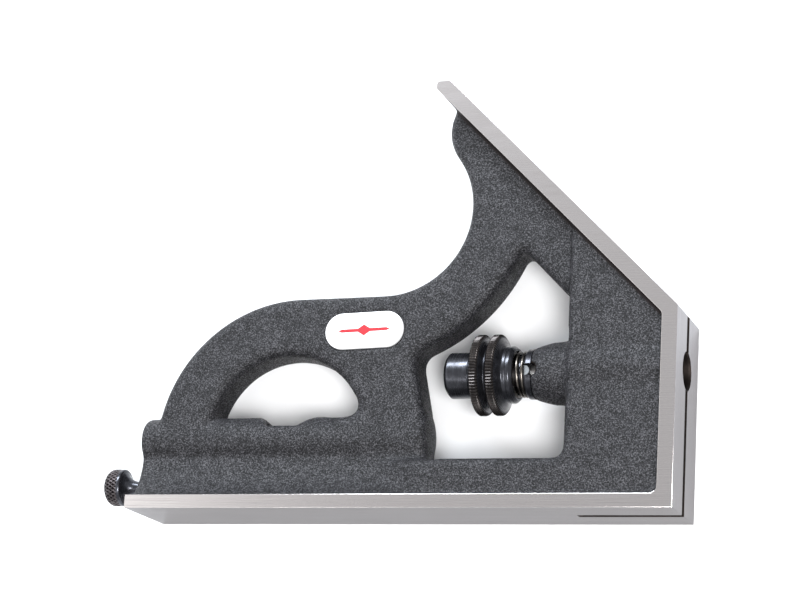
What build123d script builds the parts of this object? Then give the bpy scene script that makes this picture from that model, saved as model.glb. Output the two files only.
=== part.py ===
from build123d import *
import math
import os

# Square head of a combination square, without its blade.
# Frame, in millimetres: +X runs along the base face towards the blade end, +Y runs up along the
# blade, +Z comes out of the front side. The origin is the inner corner of the blade slot: the
# slot's seat is the plane x = 0, the base face is y = 0, and the middle of the slot is z = 0.

# ---- driving dimensions -------------------------------------------------------------------
thickness = 23.8            # whole head, ground side to ground side
blade_width = 25.4          # a standard 1 in blade
blade_slot = 2.4            # slot across the blade's 3/32 in thickness
base_length = 139.7         # 5 1/2 in base face
end_height = 48.5           # ground end face beside the blade
tip_height = 108.3          # top of the 45 degree leg

base_border = 3.4           # ground base rail
end_border = 3.8            # ground end rail
miter_border = 3.9          # ground 45 degree rail, square to its face
border_corner_r = 1.8       # where two ground rails meet around the paint
web_thickness = 11.5        # cast web of the handle and the leg
heavy_thickness = 18.6      # cast column and beam around the blade slot
cast_round = 2.4            # rounding of the cast web's edges

bolt_height = 35.0          # lock bolt's axis above the base face
bolt_bore_r = 4.75
stem_bore_r = 3.2
bore_step_x = -4.0          # where the bolt bore narrows to the stem bore
boss_end_x = -11.95         # left end of the lock boss

vial_axis_y = 19.0
vial_boss_r = 6.0
vial_bore_r = 4.3
vial_mid_x = -76.4          # middle of the sight notch
vial_bore_end_x = -56.0

scriber_axis_y = 7.3
scriber_bore_r = 1.3
bushing_bore_r = 2.4
bushing_depth = 9.0
needle_r = 1.1
needle_tip_x = -66.0

plate_centre = (-55.4, 45.8)
plate_tilt = 1.8            # degrees, along the crown of the handle
plate_recess_depth = 0.6
adhesive_thickness = 0.15

# ---- worked out from them -------------------------------------------------------------------
half = thickness / 2
end_x = blade_width
left_x = end_x - base_length
cast_left_x = left_x - 0.3
miter_sum = end_x + end_height          # x + y is this all along the 45 degree face
rail_sum = miter_sum - miter_border * math.sqrt(2)
tip_x = -37.9
column_x = -2.4                         # left wall of the column
beam_y = 12.8                           # top of the beam under the nut's opening
boss_right_x = -38.0                    # right end of the vial boss

handle_centre = (-73.2, 17.5)
handle_r = 37.4
throat_centre = (-51.4, 77.1)
throat_r = 22.0
finger_centre = (-75.4, 19.5)
finger_r = 20.5
finger_foot_y = 24.6                    # just under the top of the vial boss
finger_corner_r = 2.4
arch_centre = (-58.5, 83.1)
arch_r = 46.0
leg_sum = 49.8                          # x + y is this along the inner side of the leg


def on_circle(centre, radius, degrees):
    angle = math.radians(degrees)
    return (centre[0] + radius * math.cos(angle), centre[1] + radius * math.sin(angle))


def across(x):
    """The plane square to X at this x; its sketch runs along Y and Z."""
    return Plane.YZ.offset(x)


def bar_plane(x, y):
    """The plane square to X at this x, with its origin lifted to this y."""
    return Plane(origin=(x, y, 0), x_dir=(0, 1, 0), z_dir=(1, 0, 0))


def save(builder, label):
    builder.part.label = label
    export_step(builder.part, f"parts/{label}.step")


os.makedirs("parts", exist_ok=True)

# ---- cast web of the handle and the leg -------------------------------------------------------
# The crown of the handle is the straight line that touches both the handle's arc and the throat's.
centre_gap = Vector(*throat_centre) - Vector(*handle_centre)
crown_lean = math.degrees(math.acos((handle_r + throat_r) / centre_gap.length))
crown_angle = math.degrees(math.atan2(centre_gap.Y, centre_gap.X)) + crown_lean
web_foot_y = 19.0                       # the web runs down into the vial boss and the column
web_start_angle = 180 - math.degrees(math.asin((web_foot_y - handle_centre[1]) / handle_r))
throat_top_angle = 37
knuckle_end = (-34.0, 104.2)            # inside the 45 degree rail

with BuildSketch() as web_outline:
    with BuildLine():
        outer = CenterArc(
            handle_centre, handle_r, web_start_angle, crown_angle - web_start_angle
        )
        throat = CenterArc(
            throat_centre,
            throat_r,
            crown_angle - 180,
            throat_top_angle + 180 - crown_angle,
        )
        crown = Line(outer @ 1, throat @ 0)
        knuckle = TangentArc(throat @ 1, knuckle_end, tangent=throat % 1)
        Polyline(
            knuckle @ 1,
            (end_x - 2, end_height),
            (end_x - 2, web_foot_y),
            outer @ 0,
        )
    make_face()

finger_foot_angle = math.degrees(math.asin((finger_foot_y - finger_centre[1]) / finger_r))
with BuildSketch() as finger_opening:
    with BuildLine():
        bow = CenterArc(finger_centre, finger_r, 184, finger_foot_angle - 184)
        Polyline(bow @ 1, (-60.0, finger_foot_y), (-63.5, 20.0), (-94.2, 16.0), bow @ 0)
    make_face()
    fillet(finger_opening.vertices().sort_by_distance(bow @ 1)[0], radius=finger_corner_r)

with BuildSketch() as nut_opening:
    with BuildLine():
        arch = CenterArc(arch_centre, arch_r, -21.8, -47.7)
        Polyline(
            arch @ 1,
            (boss_right_x - 0.3, 21.5),
            (boss_right_x - 0.3, 8),
            (4, 8),
            (4, leg_sum - 4),
            arch @ 0,
        )
    make_face()
    fillet(nut_opening.vertices().sort_by(Axis.Y)[-1], radius=1.5)
    fillet(nut_opening.vertices().sort_by_distance(arch @ 1)[0], radius=3.5)

with BuildPart() as web:
    with BuildSketch(Plane.XY.offset(-web_thickness / 2)):
        add(web_outline.sketch)
        add(finger_opening.sketch, mode=Mode.SUBTRACT)
        add(nut_opening.sketch, mode=Mode.SUBTRACT)
    extrude(amount=web_thickness)
    rounded_places = [
        on_circle(handle_centre, handle_r, 131),
        ((crown @ 0.5).X, (crown @ 0.5).Y),
        on_circle(throat_centre, throat_r, -25),
        on_circle(finger_centre, finger_r, 100),
        on_circle(arch_centre, arch_r, -45),
        (-40.3, 30.0),
        (-10.0, leg_sum + 10.0),
    ]
    cast_edges = ShapeList()
    for place in rounded_places:
        for side in (-web_thickness / 2, web_thickness / 2):
            spot = (place[0], place[1], side)
            cast_edges.append(web.edges().sort_by_distance(spot)[0])
    fillet(cast_edges, radius=cast_round)

# ---- vial boss, and the flare that spreads from it down to the base rail ------------------------
with BuildPart() as vial_boss:
    with BuildSketch(bar_plane(cast_left_x, vial_axis_y)):
        Circle(vial_boss_r)
    extrude(amount=boss_right_x - cast_left_x)
    fillet(vial_boss.edges().filter_by(GeomType.CIRCLE).sort_by(Axis.X)[0], radius=1.2)

flare_foot_z = 11.3
flare_top_y = 15.6
flare_top_z = 4.2
with BuildPart() as flare:
    with BuildSketch(across(cast_left_x)):
        with BuildLine():
            front_flare = ThreePointArc(
                (base_border - 1, flare_foot_z), (7.4, 6.2), (flare_top_y, flare_top_z)
            )
            back_flare = mirror(front_flare, about=Plane.XZ)
            Line(front_flare @ 0, (base_border - 1, -flare_foot_z))
            Line(front_flare @ 1, (flare_top_y, -flare_top_z))
        make_face()
    extrude(amount=boss_right_x - cast_left_x)
    end_edges = flare.faces().sort_by(Axis.X)[0].edges().filter_by(GeomType.CIRCLE)
    fillet(end_edges, radius=2.0)

# ---- heavy column and beam that carry the blade slot, with the ramp down to the flare -----------
ramp_length = 12.0
with BuildPart() as heavy_section:
    with BuildSketch(Plane.XY.offset(-heavy_thickness / 2)):
        with BuildLine():
            Polyline(
                (boss_right_x, base_border - 1),
                (end_x - 1, base_border - 1),
                (end_x - 1, end_height - 2),
                (column_x, miter_sum - column_x - 3),
                (column_x, beam_y),
                (boss_right_x, beam_y),
                (boss_right_x, base_border - 1),
            )
        make_face()
        fillet(vertices().sort_by_distance((column_x, beam_y))[0], radius=2.5)
    extrude(amount=heavy_thickness)
    inner_edges = ShapeList()
    for place in ((column_x, 45.0), (column_x + 0.7, beam_y + 0.7), (-20.0, beam_y)):
        for side in (-heavy_thickness / 2, heavy_thickness / 2):
            inner_edges.append(
                heavy_section.edges().sort_by_distance((place[0], place[1], side))[0]
            )
    fillet(inner_edges, radius=1.8)

with BuildPart() as beam_ramp:
    for ramp_x, ramp_z in ((boss_right_x, heavy_thickness / 2), (boss_right_x - ramp_length, 5.0)):
        with BuildSketch(across(ramp_x)):
            with Locations(((beam_y + base_border - 1) / 2, 0)):
                Rectangle(beam_y - base_border + 1, 2 * ramp_z)
    loft()

# ---- head casting ---------------------------------------------------------------------------
with BuildPart() as head_casting:
    # ground rails: base, end and 45 degree face in one bent frame, at full thickness
    with BuildSketch():
        with BuildLine():
            Polyline(
                (left_x, 0),
                (end_x, 0),
                (end_x, end_height),
                (miter_sum - tip_height, tip_height),
                (tip_x, tip_height),
                (tip_x, rail_sum - tip_x),
                (end_x - end_border, rail_sum - end_x + end_border),
                (end_x - end_border, base_border),
                (left_x, base_border),
                (left_x, 0),
            )
        make_face()
        rail_corners = ShapeList(
            vertices().sort_by_distance((end_x - end_border, y))[0]
            for y in (base_border, rail_sum - end_x + end_border)
        )
        fillet(rail_corners, radius=border_corner_r)
    extrude(amount=half, both=True)
    tip_edges = head_casting.edges().filter_by(Axis.Z).sort_by(Axis.Y)[-2:]
    fillet(tip_edges, radius=0.9)

    add(web.part)

    add(heavy_section.part)
    add(beam_ramp.part)
    add(vial_boss.part)
    add(flare.part)

    # gentle swelling of the column over the bolt bore
    with BuildSketch(bar_plane(column_x + 0.4, bolt_height)):
        Ellipse(8.6, 10.3)
    extrude(amount=end_x - end_border - column_x)

    # lock boss, a short cone out of the column
    with BuildSketch(bar_plane(boss_end_x, bolt_height)):
        Circle(6.2)
    with BuildSketch(bar_plane(column_x + 1, bolt_height)):
        Circle(7.9)
    loft()

    # sight notch over the vial
    with BuildSketch():
        Polygon(
            (-80.5, 22.1),
            (-72.2, 22.1),
            (-67.6, 25.6),
            (-83.6, 25.6),
            align=None,
        )
    extrude(amount=vial_boss_r + 1, both=True, mode=Mode.SUBTRACT)

    # vial bore, drilled from the left end
    with BuildSketch(bar_plane(cast_left_x - 1, vial_axis_y)):
        Circle(vial_bore_r)
    extrude(amount=vial_bore_end_x - cast_left_x + 1, mode=Mode.SUBTRACT)

    # scriber bore with the wider seat of its bushing
    with BuildSketch(bar_plane(cast_left_x - 1, scriber_axis_y)):
        Circle(scriber_bore_r)
    extrude(amount=needle_tip_x + 2 - cast_left_x + 1, mode=Mode.SUBTRACT)
    with BuildSketch(bar_plane(cast_left_x - 1, scriber_axis_y)):
        Circle(bushing_bore_r)
    extrude(amount=bushing_depth + 1, mode=Mode.SUBTRACT)

    # blade slot, open at the base, the end face and the 45 degree face
    with BuildSketch(Plane.XY.offset(-blade_slot / 2)):
        Polygon(
            (0, -1),
            (end_x + 1, -1),
            (end_x + 1, miter_sum),
            (0, miter_sum + 1),
            align=None,
        )
    extrude(amount=blade_slot, mode=Mode.SUBTRACT)

    # bolt bore from the end face, stem bore through the boss, and the seat of the cross pin
    with BuildSketch(bar_plane(bore_step_x, bolt_height)):
        Circle(bolt_bore_r)
    extrude(amount=end_x - bore_step_x + 1, mode=Mode.SUBTRACT)
    with BuildSketch(bar_plane(boss_end_x - 1, bolt_height)):
        Circle(stem_bore_r)
    extrude(amount=bore_step_x - boss_end_x + 2, mode=Mode.SUBTRACT)
    with BuildSketch(bar_plane(boss_end_x - 1, bolt_height)):
        Circle(5.0)
    extrude(amount=2.7, mode=Mode.SUBTRACT)
    with BuildSketch():
        with Locations((boss_end_x, bolt_height)):
            Circle(1.5)
    extrude(amount=9, both=True, mode=Mode.SUBTRACT)

    # recess for the nameplate in the front of the web
    with BuildSketch(Plane.XY.offset(web_thickness / 2 - plate_recess_depth)):
        with Locations(plate_centre):
            SlotOverall(21.4, 10.0, rotation=plate_tilt)
    extrude(amount=2, mode=Mode.SUBTRACT)
save(head_casting, "head_casting")

# ---- nameplate --------------------------------------------------------------------------------
plate_floor = web_thickness / 2 - plate_recess_depth
with BuildPart() as nameplate_adhesive:
    with BuildSketch(Plane.XY.offset(plate_floor)):
        with Locations(plate_centre):
            SlotOverall(20.0, 8.6, rotation=plate_tilt)
    extrude(amount=adhesive_thickness)
save(nameplate_adhesive, "nameplate_adhesive")

with BuildPart() as nameplate:
    with BuildSketch(Plane.XY.offset(plate_floor + adhesive_thickness)):
        with Locations(plate_centre):
            SlotOverall(20.6, 9.2, rotation=plate_tilt)
    extrude(amount=0.85)
    fillet(nameplate.faces().sort_by(Axis.Z)[-1].edges(), radius=0.3)
save(nameplate, "nameplate")

# ---- level vial -------------------------------------------------------------------------------
holder_r = vial_bore_r - 0.05
glass_r = 3.5
glass_wall = 1.2            # at the closed ends
liquid_r = 2.7
holder_half = 19.0
glass_half = 17.0
with BuildPart() as vial_holder:
    with BuildSketch(bar_plane(vial_mid_x - holder_half, vial_axis_y)):
        Circle(holder_r)
        Circle(glass_r + 0.05, mode=Mode.SUBTRACT)
    extrude(amount=2 * holder_half)
    with BuildSketch(Plane.XZ.offset(-vial_axis_y)):
        with Locations((vial_mid_x, 0)):
            Rectangle(13.0, 5.4)
    extrude(amount=-holder_r - 1, mode=Mode.SUBTRACT)
save(vial_holder, "vial_holder")

with BuildPart() as vial_glass:
    with BuildSketch(bar_plane(vial_mid_x - glass_half, vial_axis_y)):
        Circle(glass_r)
    extrude(amount=2 * glass_half)
    fillet(vial_glass.edges().filter_by(GeomType.CIRCLE), radius=1.2)
    with BuildSketch(bar_plane(vial_mid_x - glass_half + glass_wall, vial_axis_y)):
        Circle(liquid_r)
    extrude(amount=2 * (glass_half - glass_wall), mode=Mode.SUBTRACT)
save(vial_glass, "vial_glass")

bubble_half = 2.6
bubble_lift = 1.55          # the bubble floats this far above the vial's axis
with BuildPart() as vial_bubble:
    with BuildSketch(bar_plane(vial_mid_x - bubble_half, vial_axis_y + bubble_lift)):
        Circle(1.1)
    extrude(amount=2 * bubble_half)
    fillet(vial_bubble.edges().filter_by(GeomType.CIRCLE), radius=1.0)
save(vial_bubble, "vial_bubble")

with BuildPart() as vial_liquid:
    with BuildSketch(bar_plane(vial_mid_x - glass_half + glass_wall, vial_axis_y)):
        Circle(liquid_r)
    extrude(amount=2 * (glass_half - glass_wall))
    add(vial_bubble.part, mode=Mode.SUBTRACT)
save(vial_liquid, "vial_liquid")

with BuildPart() as vial_end_seals:
    seal_length = holder_half - glass_half
    for seal_x in (vial_mid_x - holder_half, vial_mid_x + glass_half):
        with BuildSketch(bar_plane(seal_x, vial_axis_y)):
            Circle(glass_r)
        extrude(amount=seal_length)
save(vial_end_seals, "vial_end_seals")

plug_left_x = cast_left_x + 0.4
with BuildPart() as vial_bore_plug:
    with BuildSketch(bar_plane(plug_left_x, vial_axis_y)):
        Circle(holder_r)
    extrude(amount=4.0)
    # screwdriver slot
    with BuildSketch(bar_plane(plug_left_x, vial_axis_y)):
        Rectangle(1.0, 7.0)
    extrude(amount=1.0, mode=Mode.SUBTRACT)
save(vial_bore_plug, "vial_bore_plug")

# ---- scriber ----------------------------------------------------------------------------------
knob_left_x = -125.4
knob_right_x = -118.6
knob_r = 4.75
knob_neck_r = 1.6
knob_end_x = cast_left_x - 1.0
needle_left_x = knob_right_x - 3
bushing_proud = 0.9
with BuildPart() as scriber_bushing:
    with BuildSketch(bar_plane(cast_left_x - bushing_proud, scriber_axis_y)):
        Circle(bushing_bore_r - 0.05)
        Circle(needle_r + 0.05, mode=Mode.SUBTRACT)
    extrude(amount=bushing_depth + bushing_proud)
save(scriber_bushing, "scriber_bushing")

with BuildPart() as scriber_needle:
    with BuildSketch():
        with BuildLine():
            Polyline(
                (needle_left_x, scriber_axis_y),
                (needle_left_x, scriber_axis_y + needle_r),
                (needle_tip_x - 7, scriber_axis_y + needle_r),
                (needle_tip_x, scriber_axis_y + 0.1),
                (needle_tip_x, scriber_axis_y),
                (needle_left_x, scriber_axis_y),
            )
        make_face()
    revolve(axis=Axis((0, scriber_axis_y, 0), (1, 0, 0)))
save(scriber_needle, "scriber_needle")

with BuildPart() as scriber_knob:
    with BuildSketch():
        with BuildLine():
            dome = ThreePointArc(
                (knob_left_x, scriber_axis_y),
                (knob_left_x + 0.45, scriber_axis_y + 2.6),
                (knob_left_x + 1.8, scriber_axis_y + knob_r),
            )
            grip = Line(dome @ 1, (knob_right_x - 1.2, scriber_axis_y + knob_r))
            shoulder = Line(grip @ 1, (knob_right_x, scriber_axis_y + 3.6))
            neck = ThreePointArc(
                shoulder @ 1,
                (knob_right_x + 0.75, scriber_axis_y + 2.1),
                (knob_right_x + 2.2, scriber_axis_y + knob_neck_r),
            )
            Polyline(
                neck @ 1,
                (knob_end_x, scriber_axis_y + knob_neck_r),
                (knob_end_x, scriber_axis_y + needle_r),
                (needle_left_x, scriber_axis_y + needle_r),
                (needle_left_x, scriber_axis_y),
                dome @ 0,
            )
        make_face()
    revolve(axis=Axis((0, scriber_axis_y, 0), (1, 0, 0)))
save(scriber_knob, "scriber_knob")

# ---- lock bolt --------------------------------------------------------------------------------
head_left_x = bore_step_x + 0.1
head_right_x = 14.6
stem_end_x = -30.0
thread_start_x = -16.0       # the stem is plain to here and threaded beyond
thread_r = 2.9
pin_x = -13.75
pin_r = 1.4
pin_half_length = 4.75
with BuildPart() as lock_bolt:
    with BuildSketch(bar_plane(head_left_x, bolt_height)):
        Circle(bolt_bore_r - 0.08)
    extrude(amount=head_right_x - head_left_x)
    chamfer(lock_bolt.edges().filter_by(GeomType.CIRCLE).sort_by(Axis.X)[-1], length=0.6)
    with BuildSketch():
        with Locations(((head_right_x + 1) / 2, bolt_height)):
            Rectangle(head_right_x + 1, 12)
    extrude(amount=blade_slot / 2 + 0.1, both=True, mode=Mode.SUBTRACT)
    # lug that hooks the blade's centre groove
    with BuildSketch(Plane.XY.offset(0.75)):
        with Locations((blade_width / 2, bolt_height)):
            Rectangle(1.4, 6.0)
    extrude(amount=1.2)
    with BuildSketch(bar_plane(thread_start_x, bolt_height)):
        Circle(stem_bore_r - 0.06)
    extrude(amount=head_left_x - thread_start_x)
    with BuildSketch(bar_plane(stem_end_x, bolt_height)):
        Circle(thread_r)
    extrude(amount=thread_start_x - stem_end_x)
    chamfer(lock_bolt.edges().filter_by(GeomType.CIRCLE).sort_by(Axis.X)[0], length=0.4)
    with BuildSketch():
        with Locations((pin_x, bolt_height)):
            Circle(pin_r)
    extrude(amount=6, both=True, mode=Mode.SUBTRACT)
save(lock_bolt, "lock_bolt")

with BuildPart() as bolt_pin:
    with BuildSketch():
        with Locations((pin_x, bolt_height)):
            Circle(pin_r)
    extrude(amount=pin_half_length, both=True)
    chamfer(bolt_pin.edges().filter_by(GeomType.CIRCLE), length=0.2)
save(bolt_pin, "bolt_pin")

# ---- collar between the boss and the spring ------------------------------------------------------
collar_right_x = boss_end_x - 0.05
flange_left_x = -13.85
neck_left_x = -15.6
with BuildPart() as lock_collar:
    with BuildSketch(bar_plane(flange_left_x, bolt_height)):
        Circle(6.2)
    extrude(amount=collar_right_x - flange_left_x)
    fillet(lock_collar.edges().filter_by(GeomType.CIRCLE).sort_by(Axis.X)[0], radius=0.8)
    with BuildSketch(bar_plane(neck_left_x, bolt_height)):
        Circle(4.8)
    extrude(amount=flange_left_x - neck_left_x)
    with BuildSketch(bar_plane(neck_left_x, bolt_height)):
        Circle(stem_bore_r)
    extrude(amount=collar_right_x - neck_left_x, mode=Mode.SUBTRACT)
    # slot that the cross pin slides in, open towards the boss
    with BuildSketch():
        with Locations((pin_x, bolt_height)):
            Circle(pin_r + 0.05)
        with Locations((pin_x + 2, bolt_height)):
            Rectangle(4, 2 * (pin_r + 0.05))
    extrude(amount=8, both=True, mode=Mode.SUBTRACT)
save(lock_collar, "lock_collar")

# ---- lock nut ---------------------------------------------------------------------------------
nut_left_x = -34.4
nut_right_x = -16.5
recess_floor_x = -22.0
recess_r = 5.85
hub_r = 7.05
nut_knob_r = 5.7
groove_r = 7.4
rim_r = 10.0


def nut_point(x, radius):
    return (x, bolt_height + radius)


with BuildPart() as lock_nut:
    with BuildSketch():
        with BuildLine():
            Polyline(
                nut_point(nut_left_x, 0),
                nut_point(nut_left_x, nut_knob_r - 1.1),
                nut_point(nut_left_x + 1.1, nut_knob_r),
                nut_point(-27.9, nut_knob_r),
                nut_point(-27.3, 7.6),
                nut_point(-26.6, rim_r - 0.3),
                nut_point(-26.3, rim_r),
                nut_point(-24.8, rim_r),
                nut_point(-24.4, rim_r - 0.4),
                nut_point(-23.6, groove_r),
                nut_point(-23.3, groove_r),
                nut_point(-22.5, rim_r - 0.4),
                nut_point(-22.1, rim_r),
                nut_point(-20.7, rim_r),
                nut_point(-20.3, rim_r - 0.4),
                nut_point(-19.5, hub_r + 0.6),
                nut_point(-19.0, hub_r),
                nut_point(nut_right_x - 0.9, hub_r),
                nut_point(nut_right_x, hub_r - 0.7),
                nut_point(nut_right_x, recess_r),
                nut_point(recess_floor_x, recess_r),
                nut_point(recess_floor_x, thread_r + 0.05),
                nut_point(-33.0, thread_r + 0.05),
                nut_point(-33.2, 0),
                nut_point(nut_left_x, 0),
            )
        make_face()
    revolve(axis=Axis((0, bolt_height, 0), (1, 0, 0)))
save(lock_nut, "lock_nut")

# ---- lock spring ------------------------------------------------------------------------------
wire_r = 0.4
coil_r = 5.33
spring_left_x = recess_floor_x + wire_r + 0.05
spring_right_x = flange_left_x - wire_r - 0.05
spring_turns = 5.5
with BuildLine() as coil:
    Helix(
        pitch=(spring_right_x - spring_left_x) / spring_turns,
        height=spring_right_x - spring_left_x,
        radius=coil_r,
        center=(spring_left_x, bolt_height, 0),
        direction=(1, 0, 0),
    )
with BuildPart() as lock_spring:
    with BuildSketch(Plane(origin=coil.line @ 0, z_dir=coil.line % 0)):
        Circle(wire_r)
    sweep(path=coil.line, is_frenet=True)
save(lock_spring, "lock_spring")
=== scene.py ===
import math

import bmesh
import bpy
import numpy as np
from mathutils import Matrix, Vector


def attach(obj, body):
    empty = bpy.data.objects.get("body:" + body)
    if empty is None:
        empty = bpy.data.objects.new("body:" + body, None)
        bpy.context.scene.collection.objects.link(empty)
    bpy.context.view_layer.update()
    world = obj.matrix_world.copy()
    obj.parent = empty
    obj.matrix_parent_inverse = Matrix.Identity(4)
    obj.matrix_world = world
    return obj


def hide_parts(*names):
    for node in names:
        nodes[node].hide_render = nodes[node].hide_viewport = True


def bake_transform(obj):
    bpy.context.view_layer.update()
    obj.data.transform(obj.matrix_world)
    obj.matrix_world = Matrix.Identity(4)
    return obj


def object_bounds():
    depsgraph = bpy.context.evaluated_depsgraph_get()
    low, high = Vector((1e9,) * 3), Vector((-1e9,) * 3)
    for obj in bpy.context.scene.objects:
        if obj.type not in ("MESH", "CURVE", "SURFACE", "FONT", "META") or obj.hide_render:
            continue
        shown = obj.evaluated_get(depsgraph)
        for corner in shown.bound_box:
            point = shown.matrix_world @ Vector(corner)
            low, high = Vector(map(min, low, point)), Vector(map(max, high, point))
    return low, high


# Square head of a combination square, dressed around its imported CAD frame.
# Lengths in the tables below are millimetres in the CAD frame; meshes are made in metres.

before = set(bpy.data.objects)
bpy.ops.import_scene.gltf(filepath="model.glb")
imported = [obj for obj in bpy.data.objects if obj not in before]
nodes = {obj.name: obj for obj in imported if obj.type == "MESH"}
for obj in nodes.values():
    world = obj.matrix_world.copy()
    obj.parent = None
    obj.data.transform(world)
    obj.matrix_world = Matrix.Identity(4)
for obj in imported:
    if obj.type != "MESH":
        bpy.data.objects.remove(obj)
cad_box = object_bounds()
MM = 0.001

HALF = 11.9                      # half of the head's thickness
LEFT, END = -114.3, 25.4         # ends of the base face
END_HEIGHT = 48.5
MITER_SUM = END + END_HEIGHT     # x + y on the 45 degree face
TIP_TOP, TIP_LEFT = 108.3, -37.9
COLUMN = -2.4                    # left wall of the column around the blade slot
BOSS_END = -11.95                # left end of the lock boss
BASE_BORDER, END_BORDER, MITER_BORDER = 3.4, 3.8, 3.9
BORDER_CORNER = 1.8
BOLT_Y = 35.0
VIAL_X, VIAL_Y = -76.4, 19.0
SCRIBER_Y = 7.3
PLATE = (-55.4, 45.8)
PLATE_TILT = math.radians(1.8)
CASTING_TRIANGLES = 185000       # what the painted casting is thinned to
PAINTED, SHADED_MACHINED, SHADE_LINE_SLOT = range(3)                # material slots of the casting
FRONT, BASE, END_FACE, MITER, SHADED_SLOT_WALL = range(5)   # material slots of the rails


# ---- mesh helpers -------------------------------------------------------------------------------


def new_object(name, verts, faces, smooth_angle=35):
    """A mesh object from points in millimetres; edges sharper than the angle stay sharp."""
    mesh = bpy.data.meshes.new(name)
    mesh.from_pydata((np.asarray(verts, float) * MM).tolist(), [], [list(f) for f in faces])
    mesh.validate()
    obj = bpy.data.objects.new(name, mesh)
    bpy.context.scene.collection.objects.link(obj)
    tidy_normals(obj, smooth_angle)
    return obj


def tidy_normals(obj, smooth_angle=35):
    """Consistent outward normals, smooth shading, sharp edges above the angle."""
    bm = bmesh.new()
    bm.from_mesh(obj.data)
    bmesh.ops.recalc_face_normals(bm, faces=bm.faces)
    bm.to_mesh(obj.data)
    bm.free()
    obj.data.shade_smooth()
    obj.data.set_sharp_from_angle(angle=math.radians(smooth_angle))


def settle(obj):
    """Replaces an object's mesh by the result of its modifiers."""
    graph = bpy.context.evaluated_depsgraph_get()
    mesh = bpy.data.meshes.new_from_object(obj.evaluated_get(graph), depsgraph=graph)
    obj.modifiers.clear()
    old, obj.data = obj.data, mesh
    bpy.data.meshes.remove(old)


def node_copy(node, name):
    """A new object with a CAD node's shape, its split vertices joined."""
    source = nodes[node].data
    co = np.zeros(len(source.vertices) * 3, np.float32)
    source.vertices.foreach_get("co", co)
    mesh = bpy.data.meshes.new(name)
    mesh.from_pydata(
        co.reshape(-1, 3).tolist(), [], [list(p.vertices) for p in source.polygons]
    )
    bm = bmesh.new()
    bm.from_mesh(mesh)
    bmesh.ops.remove_doubles(bm, verts=bm.verts, dist=2e-6)
    bm.to_mesh(mesh)
    bm.free()
    obj = bpy.data.objects.new(name, mesh)
    bpy.context.scene.collection.objects.link(obj)
    return obj


def softened(points, radius, steps=3):
    """An open profile with each inner corner rounded to about the radius."""
    pts = [np.array(p, float) for p in points]
    out = [pts[0]]
    for before, corner, after in zip(pts, pts[1:], pts[2:]):
        a, b = before - corner, after - corner
        la, lb = np.linalg.norm(a), np.linalg.norm(b)
        cut = min(radius, 0.45 * la, 0.45 * lb)
        start, end = corner + a / la * cut, corner + b / lb * cut
        for i in range(steps + 1):
            t = i / steps
            out.append((1 - t) ** 2 * start + 2 * t * (1 - t) * corner + t * t * end)
    out.append(pts[-1])
    return out


def refined(points, step):
    """A profile with points added so that none are further apart than the step."""
    out = [np.array(points[0], float)]
    for p in points[1:]:
        p = np.array(p, float)
        n = max(1, math.ceil(np.linalg.norm(p - out[-1]) / step))
        start = out[-1]
        out.extend(start + (p - start) * (i + 1) / n for i in range(n))
    return out


def lathe(name, profile, axis_y, segments, radius_at=None, smooth_angle=35):
    """A profile of (x, radius) turned about the line y = axis_y, z = 0. radius_at(x, r, angles) gives a
    ring's radii, for knurls. A radius of zero closes the end in one point."""
    angles = np.arange(segments) * 2 * math.pi / segments
    verts, rings = [], []
    for x, r in profile:
        if r < 1e-6:
            rings.append([len(verts)])
            verts.append((x, axis_y, 0))
            continue
        radii = np.full(segments, r) if radius_at is None else radius_at(x, r, angles)
        rings.append(list(range(len(verts), len(verts) + segments)))
        verts.extend(
            (x, axis_y + q * math.cos(a), q * math.sin(a)) for q, a in zip(radii, angles)
        )
    faces = []
    for one, two in zip(rings, rings[1:]):
        for i in range(segments):
            j = (i + 1) % segments
            if len(one) == 1:
                faces.append((one[0], two[i], two[j]))
            elif len(two) == 1:
                faces.append((one[i], one[j], two[0]))
            else:
                faces.append((one[i], one[j], two[j], two[i]))
    return new_object(name, verts, faces, smooth_angle)


def saw(t):
    """A triangle wave of period 1 between 0 and 1."""
    return 1 - np.abs(2 * (t - np.floor(t)) - 1)


def obround(length, width, steps=18):
    """The outline of a slot shape about the origin, anticlockwise."""
    r = width / 2
    out = []
    for side, start in ((1, -90), (-1, 90)):
        for i in range(steps + 1):
            a = math.radians(start + 180 * i / steps)
            out.append((side * (length / 2 - r) + r * math.cos(a), r * math.sin(a)))
    return out


def layered(name, outlines, smooth_angle=35):
    """A closed solid through outlines of equal length, each with its own height: [(points, z), ...]."""
    verts, faces = [], []
    n = len(outlines[0][0])
    for points, z in outlines:
        verts.extend((x, y, z) for x, y in points)
    for k in range(len(outlines) - 1):
        for i in range(n):
            j = (i + 1) % n
            faces.append((k * n + i, k * n + j, (k + 1) * n + j, (k + 1) * n + i))
    faces.append(tuple(reversed(range(n))))
    faces.append(tuple(range((len(outlines) - 1) * n, len(outlines) * n)))
    return new_object(name, verts, faces, smooth_angle)


def on_plate(points):
    """Points about the nameplate's middle, tilted and moved to their place."""
    c, s = math.cos(PLATE_TILT), math.sin(PLATE_TILT)
    return [(PLATE[0] + x * c - y * s, PLATE[1] + x * s + y * c) for x, y in points]


# ---- materials ----------------------------------------------------------------------------------


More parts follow.
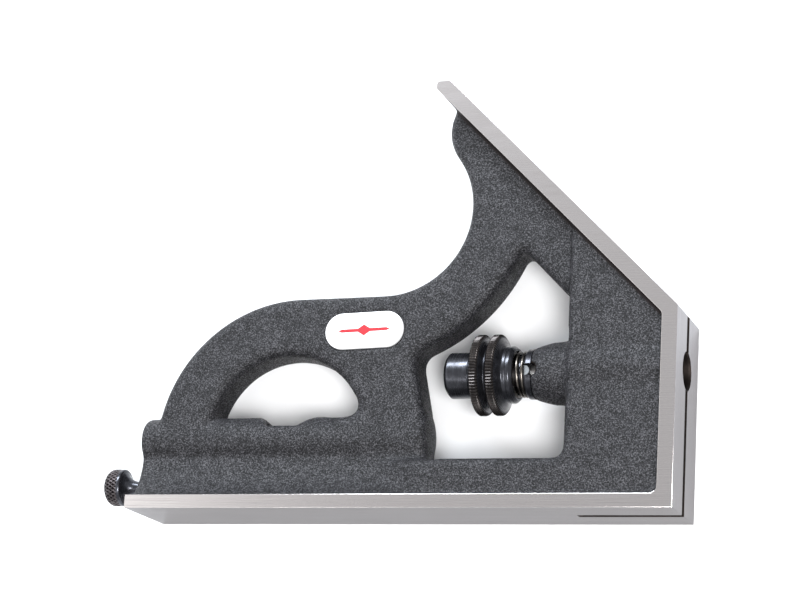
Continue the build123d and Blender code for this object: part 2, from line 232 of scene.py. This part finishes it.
class Shader:
    """A material with one Principled shader and short calls to add its nodes."""

    def __init__(self, name, color, rough, metal=0.0, **sockets):
        self.material = bpy.data.materials.new(name)
        self.material.use_nodes = True
        self.tree = self.material.node_tree
        self.main = self.tree.nodes["Principled BSDF"]
        self.set("Base Color", (*color, 1))
        self.set("Roughness", rough)
        self.set("Metallic", metal)
        for socket, value in sockets.items():
            self.set(socket.replace("_", " "), value)
        self.place = self.add("ShaderNodeTexCoord").outputs["Object"]

    def set(self, socket, value):
        self.main.inputs[socket].default_value = value

    def add(self, kind, **fields):
        node = self.tree.nodes.new(kind)
        for key, value in fields.items():
            setattr(node, key, value)
        return node

    def link(self, output, target):
        self.tree.links.new(output, target)

    def noise(self, scale, stretch=None, turn=0.0, detail=3, rough=0.5, distortion=0.0):
        """Noise in object space; stretch gives its frequency along X, Y and Z in 1/m."""
        node = self.add("ShaderNodeTexNoise")
        node.inputs["Detail"].default_value = detail
        node.inputs["Roughness"].default_value = rough
        node.inputs["Distortion"].default_value = distortion
        node.inputs["Scale"].default_value = scale
        place = self.place
        if turn:
            spin = self.add("ShaderNodeMapping")
            spin.inputs["Rotation"].default_value = (0, 0, turn)
            self.link(place, spin.inputs["Vector"])
            place = spin.outputs["Vector"]
        if stretch:
            mapping = self.add("ShaderNodeMapping")
            mapping.inputs["Scale"].default_value = stretch
            self.link(place, mapping.inputs["Vector"])
            place = mapping.outputs["Vector"]
        self.link(place, node.inputs["Vector"])
        return node.outputs["Fac"]

    def ramp(self, source, stops, socket=None):
        """A colour ramp of (position, value or colour) pairs, linked to the socket if one is named."""
        node = self.add("ShaderNodeValToRGB")
        elements = node.color_ramp.elements
        while len(elements) < len(stops):
            elements.new(0.5)
        for element, (position, value) in zip(elements, stops):
            element.position = position
            rgb = (value,) * 3 if isinstance(value, (int, float)) else value
            element.color = (*rgb, 1)
        self.link(source, node.inputs["Fac"])
        if socket:
            self.link(node.outputs["Color"], self.main.inputs[socket])
        return node.outputs["Color"]

    def math(self, kind, a, b):
        node = self.add("ShaderNodeMath", operation=kind)
        for i, value in enumerate((a, b)):
            if isinstance(value, (int, float)):
                node.inputs[i].default_value = value
            else:
                self.link(value, node.inputs[i])
        return node.outputs[0]

    def bump(self, source, distance, strength=1.0):
        node = self.add("ShaderNodeBump")
        node.inputs["Distance"].default_value = distance
        node.inputs["Strength"].default_value = strength
        self.link(source, node.inputs["Height"])
        self.link(node.outputs["Normal"], self.main.inputs["Normal"])


def wrinkle_paint():
    """Charcoal wrinkle finish: worm-like ridges about 0.35 mm apart, nearly black in the valleys as
    painted shade.
    """
    s = Shader("wrinkle_paint", (0.03, 0.03, 0.034), 0.5, Specular_IOR_Level=0.25)
    worms = s.noise(3100, detail=2, rough=0.55, distortion=0.9)
    broad = s.noise(420, detail=2)
    height = s.math("ADD", s.math("MULTIPLY", worms, 0.88), s.math("MULTIPLY", broad, 0.12))
    # Colour follows the ridge height: painted shade darkens the valleys towards black, the ridges keep
    # the paint's own charcoal.
    s.ramp(
        height,
        [(0.4, (0.001, 0.001, 0.001)), (0.5, (0.006, 0.006, 0.008)), (0.62, (0.066, 0.065, 0.071))],
        "Base Color",
    )
    s.ramp(height, [(0.35, 0.7), (0.65, 0.42)], "Roughness")
    s.bump(height, 0.00018)
    return s.material


def ground_steel(name, color, direction, streak=0.12, edge_tint=1.0):
    """Surface-ground steel with fine lines along X, along Y or along the 45 degree face."""
    turn = math.radians(45) if direction == "miter" else 0.0
    fine = {"x": (70, 5200, 5200), "y": (5200, 70, 5200), "miter": (70, 5200, 5200)}[direction]
    broad = {"x": (12, 900, 900), "y": (900, 12, 900), "miter": (12, 900, 900)}[direction]
    s = Shader(name, color, 0.2, 1.0, Specular_Tint=(edge_tint, edge_tint, edge_tint, 1))
    lines = s.noise(1, fine, turn, detail=4, rough=0.7)
    bands = s.noise(1, broad, turn, detail=2)
    cloud = s.noise(60, detail=3)
    mix = s.math("ADD", s.math("MULTIPLY", lines, 0.6), s.math("MULTIPLY", bands, 0.25))
    mix = s.math("ADD", mix, s.math("MULTIPLY", cloud, 0.15))
    dark = tuple(c * (1 - streak * 2) for c in color)
    light = tuple(min(1.0, c * (1 + streak * 1.4)) for c in color)
    s.ramp(mix, [(0.33, dark), (0.5, color), (0.68, light)], "Base Color")
    s.ramp(mix, [(0.35, 0.26), (0.65, 0.18)], "Roughness")
    s.bump(lines, 0.0000008)
    return s.material


def black_oxide(name, color=(0.045, 0.046, 0.053), rough=0.22, coat=0.0):
    """Oiled black oxide on turned steel, with faint lathe lines round the part."""
    s = Shader(name, color, rough, 0.85, Coat_Weight=coat, Coat_Roughness=0.1)
    rings = s.noise(1, (9000, 60, 60), detail=3)
    cloud = s.noise(500, detail=3)
    s.ramp(
        cloud,
        [(0.3, tuple(c * 0.7 for c in color)), (0.7, tuple(c * 1.5 for c in color))],
        "Base Color",
    )
    s.ramp(rings, [(0.3, rough + 0.1), (0.7, rough - 0.04)], "Roughness")
    s.bump(rings, 0.000006)
    return s.material


def turned_steel(name, color, rough=0.26, stain=0.8):
    """Bright turned or drawn steel with lines round the X axis."""
    s = Shader(name, color, rough, 1.0)
    rings = s.noise(1, (6000, 90, 90), detail=3)
    cloud = s.noise(700, detail=4)
    s.ramp(cloud, [(0.3, tuple(c * stain for c in color)), (0.65, color)], "Base Color")
    s.ramp(rings, [(0.3, rough + 0.12), (0.7, rough - 0.05)], "Roughness")
    s.bump(rings, 0.000005)
    return s.material


def enamel_white():
    """White enamel with a faint orange peel."""
    s = Shader("enamel_white", (0.86, 0.86, 0.87), 0.3, Coat_Weight=0.5, Coat_Roughness=0.08)
    cloud = s.noise(300, detail=3)
    s.ramp(cloud, [(0.3, (0.8, 0.8, 0.815)), (0.7, (0.9, 0.9, 0.9))], "Base Color")
    s.ramp(cloud, [(0.3, 0.36), (0.7, 0.26)], "Roughness")
    s.bump(s.noise(2500, detail=1), 0.000008)
    return s.material


def plain(name, color, rough, grain=900, metal=0.0, depth=0.00001, **sockets):
    """A moulded, cast or painted surface with a little mottling and grain."""
    s = Shader(name, color, rough, metal, **sockets)
    cloud = s.noise(grain, detail=4)
    s.ramp(
        cloud,
        [(0.3, tuple(c * 0.8 for c in color)), (0.7, tuple(min(1, c * 1.15) for c in color))],
        "Base Color",
    )
    s.ramp(cloud, [(0.3, min(1, rough + 0.08)), (0.7, rough - 0.04)], "Roughness")
    s.bump(cloud, depth)
    return s.material


def clear(name, color, ior, rough=0.02):
    """Glass or spirit, with faint drawing waves in its roughness."""
    s = Shader(name, color, rough, Transmission_Weight=1.0, IOR=ior)
    s.ramp(s.noise(1, (40, 900, 900)), [(0.3, rough + 0.02), (0.7, rough)], "Roughness")
    return s.material


PAINT = wrinkle_paint()
# Near-black line on the paint beside the rails' inner edges: painted shade where the paint steps down
# from the ground faces.
BORDER_SHADE_PAINT = plain("painted_shade_line", (0.012, 0.009, 0.009), 0.7, grain=2500, Specular_IOR_Level=0.2)
GROUND_FACE = ground_steel("ground_face", (0.54, 0.51, 0.5), "x", 0.09)
# The base, end and 45 degree faces are darker copies of the front face's ground steel, with a dimmed
# reflection tint: painted shade on faces turned from the light.
GROUND_BASE_SHADED = ground_steel("ground_base_shaded", (0.22, 0.208, 0.217), "x", 0.05, 0.56)
GROUND_END_SHADED = ground_steel("ground_end_shaded", (0.29, 0.277, 0.287), "y", 0.06, 0.6)
GROUND_MITER_SHADED = ground_steel("ground_miter_shaded", (0.32, 0.31, 0.305), "miter", 0.08, 0.65)
# Near-black steel for slot and bore walls: the oily steel's brown tone, darkened to painted shade in
# these recesses.
SHADED_BORE_STEEL = turned_steel("bore_steel_painted_shade", (0.035, 0.028, 0.025), 0.5)
BLACK = black_oxide("black_oxide")
BLACK_KNURL = black_oxide("black_oxide_knurl", (0.03, 0.026, 0.025), 0.25, 0.1)
# Knurl ridges and pits: a lighter copy of the oxide on the ridges as painted highlight, a near-black
# copy in the pits as painted shade.
BLACK_RIDGE_LIT = black_oxide("black_oxide_ridge_lit", (0.06, 0.052, 0.054), 0.3, 0.0)
BLACK_PIT_SHADE = black_oxide("black_oxide_pit_shade", (0.003, 0.002, 0.002), 0.6, 0.0)


def dress(obj, *materials):
    obj.data.materials.clear()
    for material in materials:
        obj.data.materials.append(material)
    return obj


# ---- painted casting ----------------------------------------------------------------------------


def edge_pairs(mesh):
    pairs = np.zeros(len(mesh.edges) * 2, np.int64)
    mesh.edges.foreach_get("vertices", pairs)
    return pairs.reshape(-1, 2)


def relaxed(co, pairs, amount, rounds):
    """Laplacian smoothing of points by their edges, scaled point by point."""
    n = len(co)
    count = np.bincount(pairs.ravel(), minlength=n).astype(float)[:, None]
    for _ in range(rounds):
        total = np.empty_like(co)
        for k in range(3):
            total[:, k] = np.bincount(pairs[:, 0], co[pairs[:, 1], k], n)
            total[:, k] += np.bincount(pairs[:, 1], co[pairs[:, 0], k], n)
        co = co + (total / count - co) * 0.5 * amount[:, None]
    return co


def melting(co):
    """1 where the casting may melt into soft fillets, near 0 where its machined detail must stay."""
    x, y, z = co.T
    keep = np.ones(len(co))
    bolt_r = np.hypot(y - BOLT_Y, z)
    plate_x, plate_y = x - PLATE[0], y - PLATE[1]
    places = (
        (np.hypot(np.maximum(abs(plate_x) - 6, 0), plate_y) < 6.2) & (z > 4.4),
        (x > -85.5) & (x < -65.5) & (y > 20.6) & (y < 27.5),
        (x < -10.2) & (x > -13) & (bolt_r < 8),
        (bolt_r < 5.6) & (x > -9),
        (abs(z) < 2.0) & (x > -1.5),
        (np.hypot(y - VIAL_Y, z) < 4.8) & (x < -50),
        (np.hypot(y - SCRIBER_Y, z) < 3.0) & (x < -100),
    )
    for place, left in zip(places, (0.25, 0.3, 0.12, 0.1, 0.1, 0.2, 0.15)):
        keep[place] = np.minimum(keep[place], left)
    return keep


def flowing(co):
    """1 where cast forms flow into each other: round the lock boss, on the beam's ramp and beside the
    vial boss."""
    x, y, z = co.T
    bolt_r = np.hypot(y - BOLT_Y, z)
    flow = np.zeros(len(co))
    flow[(np.hypot(x - COLUMN, bolt_r - 8.2) < 4.5) & (bolt_r > 5.8)] = 1
    flow[(x > -54) & (x < -33) & (y > BASE_BORDER + 0.8) & (y < 26)] = 1
    flow[(x > -66) & (x < -54) & (y > 19) & (y < 30)] = 0.8
    return flow


def build_casting():
    """The cast and painted part of the head: the CAD shape remeshed, melted into cast fillets and held
    a hair inside the ground faces."""
    obj = node_copy("head_casting", "casting")
    remesh = obj.modifiers.new("remesh", "REMESH")
    remesh.mode = "VOXEL"
    remesh.voxel_size = 0.42 * MM
    settle(obj)
    mesh = obj.data
    co = np.zeros(len(mesh.vertices) * 3, np.float32)
    mesh.vertices.foreach_get("co", co)
    co = co.reshape(-1, 3).astype(float) / MM
    pairs = edge_pairs(mesh)
    amount = melting(co)
    co = relaxed(co, pairs, amount, 16)
    co = relaxed(co, pairs, np.minimum(flowing(co), amount), 60)
    along = np.clip((co[:, 0] - BOSS_END) / (COLUMN - BOSS_END), 0, 1)
    bolt_r = np.hypot(co[:, 1] - BOLT_Y, co[:, 2])
    swell = 1 + 0.1 * np.sin(math.pi * along) ** 0.8 * ((bolt_r > 5.4) & (bolt_r < 9))
    co[:, 1] = BOLT_Y + (co[:, 1] - BOLT_Y) * swell
    co[:, 2] *= swell
    # ground planes cut the casting just under the rails' own faces
    under = 0.06
    co[:, 1] = np.clip(co[:, 1], under, TIP_TOP - under)
    co[:, 0] = np.minimum(co[:, 0], END - under)
    over = np.maximum(co[:, 0] + co[:, 1] - (MITER_SUM - 1.5 * under), 0) / 2
    co[:, 0] -= over
    co[:, 1] -= over
    co[:, 2] = np.clip(co[:, 2], -HALF + under, HALF - under)
    mesh.vertices.foreach_set("co", (co * MM).astype(np.float32).ravel())
    mesh.update()
    thin = obj.modifiers.new("thin", "DECIMATE")
    thin.ratio = min(1.0, CASTING_TRIANGLES / (2 * len(mesh.polygons)))
    settle(obj)
    tidy_normals(obj, 60)
    dress(obj, PAINT, SHADED_BORE_STEEL, BORDER_SHADE_PAINT)
    mesh = obj.data
    centres = np.zeros(len(mesh.polygons) * 3, np.float32)
    mesh.polygons.foreach_get("center", centres)
    x, y, z = (centres.reshape(-1, 3).astype(float) / MM).T
    bolt_r = np.hypot(y - BOLT_Y, z)
    # Slot, bore and pin-seat faces take the near-black steel: painted shade in these recesses.
    machined = (
        ((abs(z) < 1.32) & (x > -0.3))
        | ((bolt_r < 4.9) & (x > -12.5))
        | ((np.hypot(y - VIAL_Y, z) < 4.4) & (x > -113.8) & (x < -55))
        | ((np.hypot(y - SCRIBER_Y, z) < 2.5) & (x < -60))
        | ((np.hypot(x + 11.95, y - BOLT_Y) < 1.8) & (abs(z) > 4))
    )
    inside_miter = (MITER_SUM - MITER_BORDER * math.sqrt(2) - x - y) / math.sqrt(2)
    # Faces just inside the rails' inner borders get the near-black line of painted shade.
    shade_line_faces = (
        ((inside_miter < 0.7) | (y < BASE_BORDER + 0.45) | (x > END - END_BORDER - 0.4))
        & (abs(z) > 3)
        & ~machined
    )
    kinds = np.where(machined, SHADED_MACHINED, np.where(shade_line_faces, SHADE_LINE_SLOT, PAINTED))
    mesh.polygons.foreach_set("material_index", kinds.astype(np.int32))
    return obj


def rounded_corner(before, corner, after, radius, steps=8):
    """Points of the arc that rounds a corner."""
    a = (Vector(before) - Vector(corner)).normalized()
    b = (Vector(after) - Vector(corner)).normalized()
    half = a.angle(b) / 2
    middle = Vector(corner) + (a + b).normalized() * radius / math.sin(half)
    start = Vector(corner) + a * radius / math.tan(half) - middle
    end = Vector(corner) + b * radius / math.tan(half) - middle
    out = []
    for i in range(steps + 1):
        t = i / steps
        p = start.lerp(end, t).normalized() * radius
        out.append(tuple(middle + p))
    return out


def build_rails():
    """The bent frame of ground faces: the CAD casting cut down to its borders, with broken edges."""
    obj = node_copy("head_casting", "ground_rails")
    inset = 0.03
    x0, y0 = END - END_BORDER + inset, BASE_BORDER - inset
    inner_sum = MITER_SUM - MITER_BORDER * math.sqrt(2) + inset * 1.4
    low, high = (x0, y0), (x0, inner_sum - x0)
    far_left, far_tip = (LEFT - 1, y0), (TIP_LEFT - 1, inner_sum - TIP_LEFT + 1)
    outline = [(LEFT - 1, -1), (END + 1, -1), (END + 1, END_HEIGHT + 1)]
    outline += [(MITER_SUM - TIP_TOP + 1, TIP_TOP + 1), (TIP_LEFT - 1, TIP_TOP + 1), far_tip]
    outline += rounded_corner(far_tip, high, low, BORDER_CORNER)
    outline += rounded_corner(high, low, far_left, BORDER_CORNER)
    outline += [far_left]
    strip = layered("strip", [(outline, -HALF - 1), (outline, HALF + 1)])
    cut = obj.modifiers.new("cut", "BOOLEAN")
    cut.operation = "INTERSECT"
    cut.solver = "EXACT"
    cut.object = strip
    settle(obj)
    bpy.data.objects.remove(strip)
    bm = bmesh.new()
    bm.from_mesh(obj.data)
    bmesh.ops.remove_doubles(bm, verts=bm.verts, dist=2e-6)
    bmesh.ops.dissolve_limit(
        bm, angle_limit=math.radians(0.6), verts=bm.verts, edges=bm.edges
    )
    bm.to_mesh(obj.data)
    bm.free()
    bevel = obj.modifiers.new("bevel", "BEVEL")
    bevel.width = 0.14 * MM
    bevel.segments = 2
    bevel.limit_method = "ANGLE"
    bevel.angle_limit = math.radians(40)
    settle(obj)
    tidy_normals(obj, 25)
    dress(obj, GROUND_FACE, GROUND_BASE_SHADED, GROUND_END_SHADED, GROUND_MITER_SHADED, SHADED_BORE_STEEL)
    ground_plane = 0.9995  # cosine to the nearest ground face's normal above which a face is flat
    for face in obj.data.polygons:
        n = face.normal
        x, y, z = (c / MM for c in face.center)
        nearest = max(abs(n.x), abs(n.y), abs(n.z), abs(n.x + n.y) / math.sqrt(2))
        face.use_smooth = nearest < ground_plane
        # The rails' slot and bore walls take the near-black steel: painted shade in the recesses.
        in_slot = abs(z) < 1.25 and (abs(n.z) > 0.5 or abs(x) < 0.2)
        in_bore = math.hypot(y - BOLT_Y, z) < 4.8 and abs(n.x) < 0.7
        if in_slot or in_bore:
            face.material_index = SHADED_SLOT_WALL
        # Base, end and 45 degree faces take the darker copies of the steel: painted shade by the way
        # each face is turned.
        elif n.x > 0.5 and n.y > 0.5:
            face.material_index = MITER
        elif n.y < -0.5:
            face.material_index = BASE
        elif n.x > 0.5:
            face.material_index = END_FACE
        else:
            face.material_index = FRONT
    return obj


casting = build_casting()
rails = build_rails()
for piece in (casting, rails):
    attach(piece, "head")
    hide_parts("head_casting")


# ---- nameplate ----------------------------------------------------------------------------------


def build_nameplate():
    """White plate with a rolled edge and a slightly crowned face."""
    low, top = 5.30, 6.15
    layers = [(20.6, low), (20.6, top - 0.3)]
    layers += [
        (20.6 - 0.6 * (1 - math.cos(math.radians(a))), top - 0.3 + 0.3 * math.sin(math.radians(a)))
        for a in (25, 50, 75)
    ]
    layers += [(19.4, top - 0.005), (18.0, top)]
    outlines = [(on_plate(obround(w, w - 11.4)), z) for w, z in layers]
    return dress(layered("nameplate_face", outlines, 50), enamel_white())


def build_mark():
    """A plain red rule with pointed ends and a diamond in the middle, a hair proud of the plate."""
    half_length, arm, diamond = 6.9, 0.42, (2.2, 1.45)
    shoulder = diamond[0] * (1 - arm / diamond[1])
    quarter = [(half_length, 0), (half_length - 1.0, arm), (shoulder, arm), (0, diamond[1])]
    outline = quarter + [(-x, y) for x, y in reversed(quarter[:-1])]
    outline += [(-x, -y) for x, y in quarter[1:]]
    outline += [(x, -y) for x, y in reversed(quarter[1:-1])]
    outlines = [(on_plate(outline), 6.12), (on_plate(outline), 6.165)]
    red = plain("print_red", (0.36, 0.006, 0.014), 0.4, grain=1500, depth=0.000003)
    return dress(layered("nameplate_rule", outlines), red)


plate, rule = build_nameplate(), build_mark()
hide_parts("nameplate")
for piece in (plate, rule):
    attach(piece, "head")


# ---- lock nut -----------------------------------------------------------------------------------


def build_nut():
    """Double-rimmed nut: smooth knob, two straight-knurled rims, hub whose recess is deep enough for the
    spring when the nut is at the end of its travel."""
    rim, teeth, depth, flank = 10.0, 80, 0.3, 9.3
    profile = [
        (-34.4, 0.0), (-34.4, 4.7), (-33.5, 5.7), (-28.15, 5.7), (-27.95, 5.45), (-27.75, 5.7),
        (-27.3, 7.6), (-26.55, 9.7), (-26.3, rim), (-24.8, rim), (-24.45, 9.65), (-23.6, 7.4),
        (-23.3, 7.4), (-22.45, 9.65), (-22.1, rim), (-20.7, rim), (-20.35, 9.65), (-19.5, 7.7),
        (-19.05, 7.05), (-18.35, 7.05), (-18.2, 6.9), (-18.05, 7.05), (-17.3, 7.05), (-16.5, 6.4),
        (-16.5, 5.95), (-16.65, 5.85), (-23.65, 5.85), (-23.65, 2.95), (-33.0, 2.95), (-33.2, 0.0),
    ]
    profile = refined(softened(profile, 0.16), 0.5)

    def knurl(x, r, angles):
        if r < 8.9:
            return np.full(len(angles), r)
        share = min(1.0, (r - 8.9) / 0.7)
        return r - depth * share * saw(angles * teeth / (2 * math.pi)) ** 1.3

    nut = lathe("lock_nut_turned", profile, BOLT_Y, teeth * 6, knurl, 40)
    dress(nut, BLACK, BLACK_KNURL)
    for face in nut.data.polygons:
        centre = face.center / MM
        if math.hypot(centre.y - BOLT_Y, centre.z) > flank:
            face.material_index = 1
    return nut


nut = build_nut()
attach(nut, "nut")
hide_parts("lock_nut")


# ---- spring -------------------------------------------------------------------------------------


def build_spring():
    """Round-wire compression spring with closed end coils."""
    x0, x1, coil_r, wire_r = -21.55, -14.3, 5.33, 0.4
    active, closed, per_turn, sides = 5.0, 0.6, 72, 12
    turns = active + 2 * closed
    n = int(turns * per_turn)
    t = np.arange(n + 1) / per_turn
    climb = np.clip((t - closed) / active, 0, 1)
    x = x0 + (x1 - x0) * climb
    angle = t * 2 * math.pi + math.radians(200)
    path = np.c_[x, BOLT_Y + coil_r * np.cos(angle), coil_r * np.sin(angle)]
    tangent = np.gradient(path, axis=0)
    tangent /= np.linalg.norm(tangent, axis=1)[:, None]
    out = np.c_[np.zeros(n + 1), np.cos(angle), np.sin(angle)]
    side = np.cross(tangent, out)
    verts, faces = [], []
    for p, u, v in zip(path, out, side):
        for k in range(sides):
            a = 2 * math.pi * k / sides
            verts.append(p + wire_r * (u * math.cos(a) + v * math.sin(a)))
    for i in range(n):
        for k in range(sides):
            j = (k + 1) % sides
            faces.append((i * sides + k, i * sides + j, (i + 1) * sides + j, (i + 1) * sides + k))
    faces.append(tuple(range(sides)))
    faces.append(tuple(n * sides + k for k in range(sides)))
    return dress(
        new_object("lock_spring_wire", verts, faces, 60),
        turned_steel("spring_wire", (0.16, 0.145, 0.13), 0.24, 0.6),
    )


spring = build_spring()
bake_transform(spring)
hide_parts("lock_spring")


# ---- scriber knob -------------------------------------------------------------------------------


def build_knob():
    """Domed knob with a coarse diamond knurl, a smooth shoulder and a neck that is hollowed in."""
    left, shoulder, big, neck, end = -125.4, -120.3, 4.75, 1.6, -115.6
    starts, pitch, depth = 30, 1.5, 0.34
    knurl_end = shoulder - 0.35
    dome = [
        (left + 2.9 * (1 - math.cos(a)), big * math.sin(a) ** 0.92)
        for a in np.linspace(0, math.pi / 2, 18)
    ]
    rim = [
        (shoulder + 0.6 * math.sin(a), big - 0.7 * (1 - math.cos(a)))
        for a in np.linspace(0, math.pi / 2, 6)
    ]
    cove_r, cove_end = 4.0, -116.0
    cove = [
        (cove_end - cove_r * math.cos(a), neck + cove_r * (1 - math.sin(a)))
        for a in np.linspace(math.radians(25), math.pi / 2, 14)
    ]
    profile = dome + rim + cove
    profile += [(end, neck), (end, 1.15), (shoulder - 1.0, 1.15), (shoulder - 1.2, 0.0)]
    profile = refined(profile, 0.14)

    def pits(x, r, angles):
        if r < 1.2 or x > knurl_end:
            return np.zeros(len(angles))
        share = min(1.0, (r - 1.2) / 1.5, (knurl_end - x) / 0.3)
        turn = angles * starts / (2 * math.pi)
        hollow = np.minimum(saw(turn + x / pitch), saw(turn - x / pitch))
        return depth * share * np.clip((hollow - 0.22) / 0.4, 0, 1)

    knob = lathe(
        "scriber_knob_turned", profile, SCRIBER_Y, starts * 10, lambda x, r, a: r - pits(x, r, a), 50
    )
    # Faces deep in the knurl's pits take the painted shade, the rest of the knurl the lighter, lit copy
    # of the oxide.
    dress(knob, BLACK, BLACK_PIT_SHADE, BLACK_RIDGE_LIT)
    for face in knob.data.polygons:
        x, y, z = face.center / MM
        if x > knurl_end:
            continue
        angle = np.array([math.atan2(z, y - SCRIBER_Y)])
        deep = pits(x, math.hypot(y - SCRIBER_Y, z) + depth, angle)[0] > 0.3 * depth
        face.material_index = 1 if deep else 2
    return knob


knob = build_knob()
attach(knob, "scriber")
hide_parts("scriber_knob")


# ---- vial marks ---------------------------------------------------------------------------------

ink = plain("vial_ink", (0.01, 0.01, 0.01), 0.4, depth=0.000002)
glass_r, ink_r, mark_half = 3.5, 3.53, 0.2
for mark_name, mark_x in (("vial_mark_left", VIAL_X - 3.3), ("vial_mark_right", VIAL_X + 3.3)):
    left, right = mark_x - mark_half, mark_x + mark_half
    ring = [(left, glass_r), (left, ink_r), (right, ink_r), (right, glass_r)]
    mark = lathe(mark_name, ring + ring[:1], VIAL_Y, 64)
    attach(dress(mark, ink), "head")


# ---- CAD nodes that keep their shape ------------------------------------------------------------

node_looks = {
    "nameplate_adhesive": plain("adhesive_film", (0.5, 0.45, 0.35), 0.6),
    "vial_holder": turned_steel("holder_brass", (0.62, 0.45, 0.2), 0.3),
    "vial_glass": clear("vial_glass", (0.97, 1.0, 0.98), 1.5),
    "vial_liquid": clear("vial_spirit", (0.72, 0.95, 0.25), 1.36),
    "vial_bubble": clear("vial_bubble", (1.0, 1.0, 1.0), 1.0),
    "vial_end_seals": plain("end_seal", (0.75, 0.72, 0.62), 0.7),
    "vial_bore_plug": black_oxide("bore_plug", (0.03, 0.03, 0.033), 0.4),
    "scriber_bushing": turned_steel("bushing_steel", (0.55, 0.54, 0.54), 0.22),
    "scriber_needle": turned_steel("needle_steel", (0.5, 0.49, 0.5), 0.2),
    "lock_bolt": turned_steel("bolt_steel", (0.36, 0.34, 0.33), 0.32),
    "bolt_pin": turned_steel("pin_steel", (0.6, 0.64, 0.67), 0.2, 0.85),
    "lock_collar": BLACK,
}
for node_name, material in node_looks.items():
    dress(nodes[node_name], material)


# ---- floor, light and camera --------------------------------------------------------------------


def build_floor():
    """A pale disc under the head, wide enough to reach the horizon."""
    low = cad_box[0].z / MM
    rings, segments = (300, 3000, 30000), 64
    verts, faces = [(0, 0, low)], []
    for r in rings:
        turns = (2 * math.pi * i / segments for i in range(segments))
        verts += [(r * math.cos(a), r * math.sin(a), low) for a in turns]
    for i in range(segments):
        j = (i + 1) % segments
        faces.append((0, 1 + i, 1 + j))
        for k in range(len(rings) - 1):
            a, b = 1 + k * segments, 1 + (k + 1) * segments
            faces.append((a + i, b + i, b + j, a + j))
    floor = new_object("floor", verts, faces)
    s = Shader("pale_floor", (0.86, 0.86, 0.865), 0.8, Specular_IOR_Level=0.1)
    s.ramp(s.noise(6, detail=2), [(0.3, (0.85, 0.85, 0.855)), (0.7, (0.87, 0.87, 0.875))], "Base Color")
    dress(floor, s.material)


def add_light(name, place, target, size, power, color=(1, 1, 1)):
    """A rectangular area light at a place in metres, aimed at the target."""
    light = bpy.data.lights.new(name, "AREA")
    light.shape = "RECTANGLE"
    light.size, light.size_y = size
    light.energy = power
    light.color = color
    obj = bpy.data.objects.new(name, light)
    bpy.context.scene.collection.objects.link(obj)
    obj.location = place
    obj.rotation_euler = (Vector(target) - Vector(place)).to_track_quat("-Z", "Y").to_euler()


def build_light():
    """Even pale surroundings, a wide light from the left, one from behind the camera for the floor in
    the openings, and two strips above and below for the highlights on the turned pieces."""
    world = bpy.data.worlds.new("studio")
    bpy.context.scene.world = world
    world.use_nodes = True
    background = world.node_tree.nodes["Background"]
    background.inputs["Color"].default_value = (0.97, 0.98, 1.0, 1)
    background.inputs["Strength"].default_value = 0.66
    middle = (-0.04, 0.045, 0)
    add_light("key", (-0.93, -0.06, 0.93), middle, (1.2, 0.8), 4.4)
    add_light("overhead", (0.46, -0.34, 0.98), middle, (0.4, 0.4), 16.0)
    add_light("upper_strip", (-0.32, 0.8, 0.68), middle, (0.8, 0.28), 20.0, (0.88, 0.94, 1.0))
    add_light("lower_strip", (-0.32, -0.5, 0.86), middle, (0.7, 0.08), 1.0)


def build_camera():
    """Straight above the front side, tipped to show the base face and the end face as well."""
    tilt, swing, roll = -0.2708, -0.3363, 0.0313
    distance, aside, above = 600.0, 3.7291, -9.4655
    pixels_per_mm, width, sensor = 4.0067, 800, 36.0
    turn = (
        Matrix.Rotation(roll, 3, "Z") @ Matrix.Rotation(swing, 3, "Y") @ Matrix.Rotation(tilt, 3, "X")
    ).transposed()
    place = Vector((-44, 45, 0)) + turn @ Vector((-aside, -above, distance))
    data = bpy.data.cameras.new("camera")
    data.sensor_width = sensor
    data.lens = pixels_per_mm * distance * sensor / width
    data.clip_start, data.clip_end = 0.05, 100
    camera = bpy.data.objects.new("camera", data)
    bpy.context.scene.collection.objects.link(camera)
    camera.matrix_world = Matrix.Translation(place * MM) @ turn.to_4x4()
    bpy.context.scene.camera = camera


build_floor()
build_light()
build_camera()
bpy.context.scene.view_settings.view_transform = "Standard"
